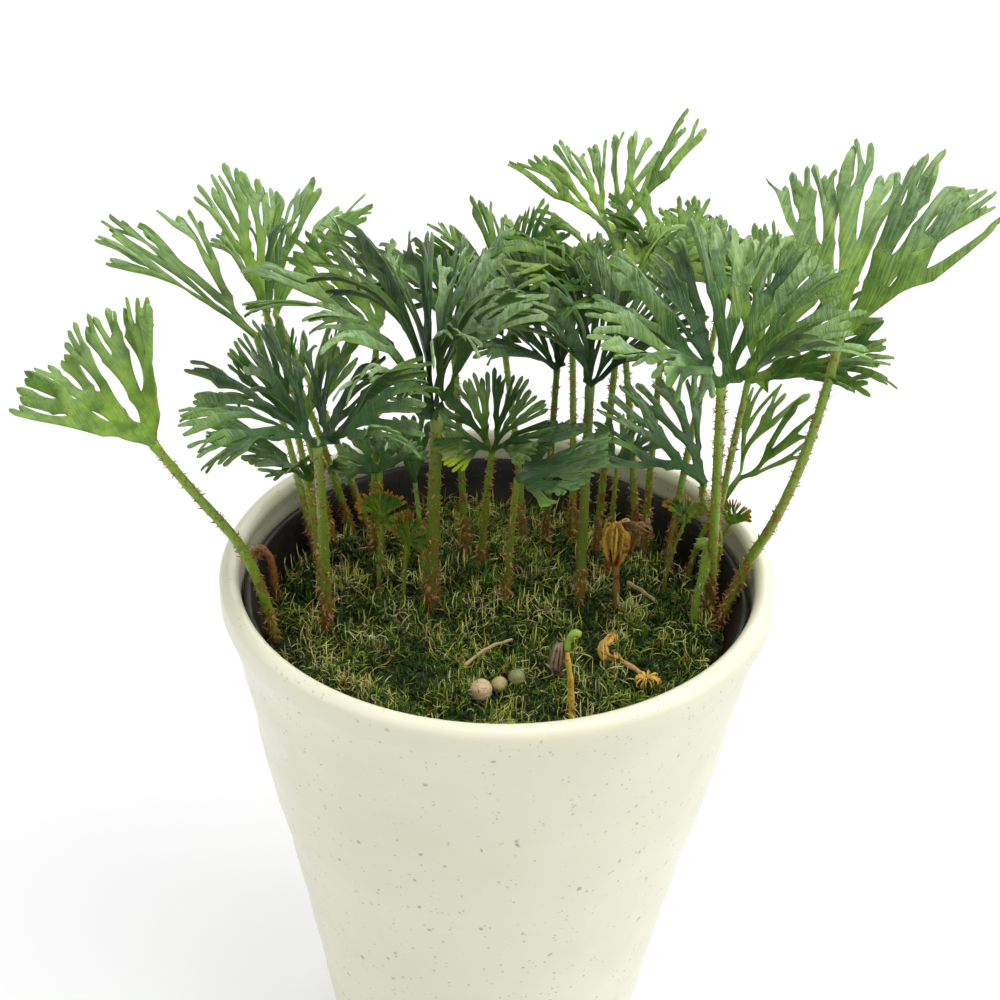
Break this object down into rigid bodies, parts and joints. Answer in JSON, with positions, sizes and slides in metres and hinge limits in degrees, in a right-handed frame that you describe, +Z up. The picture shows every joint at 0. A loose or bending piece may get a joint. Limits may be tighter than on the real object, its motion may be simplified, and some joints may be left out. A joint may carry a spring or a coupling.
{
  "type": "potted umbrella fern",
  "caption": "Small fern with forked, umbrella-like fronds on thin scaly stems, growing from a moss carpet in a black liner pot set in a tapered cream cover pot.",
  "frame": {"origin": "centre of the cover pot's flat base, on the surface it stands on", "axes": "+Z up along the pot axis, +X to the right and +Y away from the viewer of the picture"},
  "size_m": [0.1641, 0.1198, 0.1768],
  "materials": {
    "stoneware": "satin cream glaze with fine dark specks",
    "pot_plastic": "black moulded polypropylene, dull",
    "bark_medium": "damp bark and peat",
    "moss": "matt, fibrous",
    "frond_green": "leathery leaf, satin, bluish bloom on top",
    "frond_young": "soft young leaf",
    "frond_withered": "dry, papery",
    "crozier_green": "scaly shoot",
    "crozier_brown": "scaly shoot, reddish brown",
    "pellet": "resin-coated pellet",
    "straw": "dry straw"
  },
  "bodies": {
    "root": {"cover_pot": "stoneware", "crozier_brown": "crozier_brown", "crozier_green": "crozier_green", "dry_straw_1": "straw", "dry_straw_2": "straw", "fertiliser_bead_1": "pellet", "fertiliser_bead_2": "pellet", "fertiliser_bead_3": "pellet", "frond_back_centre_a": "frond_green", "frond_back_centre_b": "frond_green", "frond_back_centre_c": "frond_green", "frond_back_left_a": "frond_green", "frond_back_left_b": "frond_green", "frond_back_left_c": "frond_green", "frond_back_right_a": "frond_green", "frond_back_right_b": "frond_green", "frond_back_small": "frond_green", "frond_back_tall": "frond_green", "frond_centre_left": "frond_green", "frond_centre_low_a": "frond_green", "frond_centre_low_b": "frond_green", "frond_centre_middle": "frond_green", "frond_centre_right": "frond_green", "frond_left_back": "frond_green", "frond_left_crown": "frond_green", "frond_left_front": "frond_green", "frond_left_low": "frond_green", "frond_left_middle": "frond_green", "frond_left_outer": "frond_green", "frond_left_small_a": "frond_green", "frond_left_small_b": "frond_green", "frond_right_crown": "frond_green", "frond_right_front": "frond_green", "frond_right_inner": "frond_green", "frond_right_low_a": "frond_green", "frond_right_low_b": "frond_green", "frond_right_outer": "frond_green", "growing_medium": "bark_medium", "moss_carpet": "moss", "nursery_pot": "pot_plastic", "withered_frond_back": "frond_withered", "withered_frond_front": "frond_withered", "withered_frond_middle": "frond_withered", "young_frond_left_a": "frond_young", "young_frond_left_b": "frond_young", "young_frond_right_a": "frond_young", "young_frond_right_b": "frond_young"}
  },
  "joints": []
}
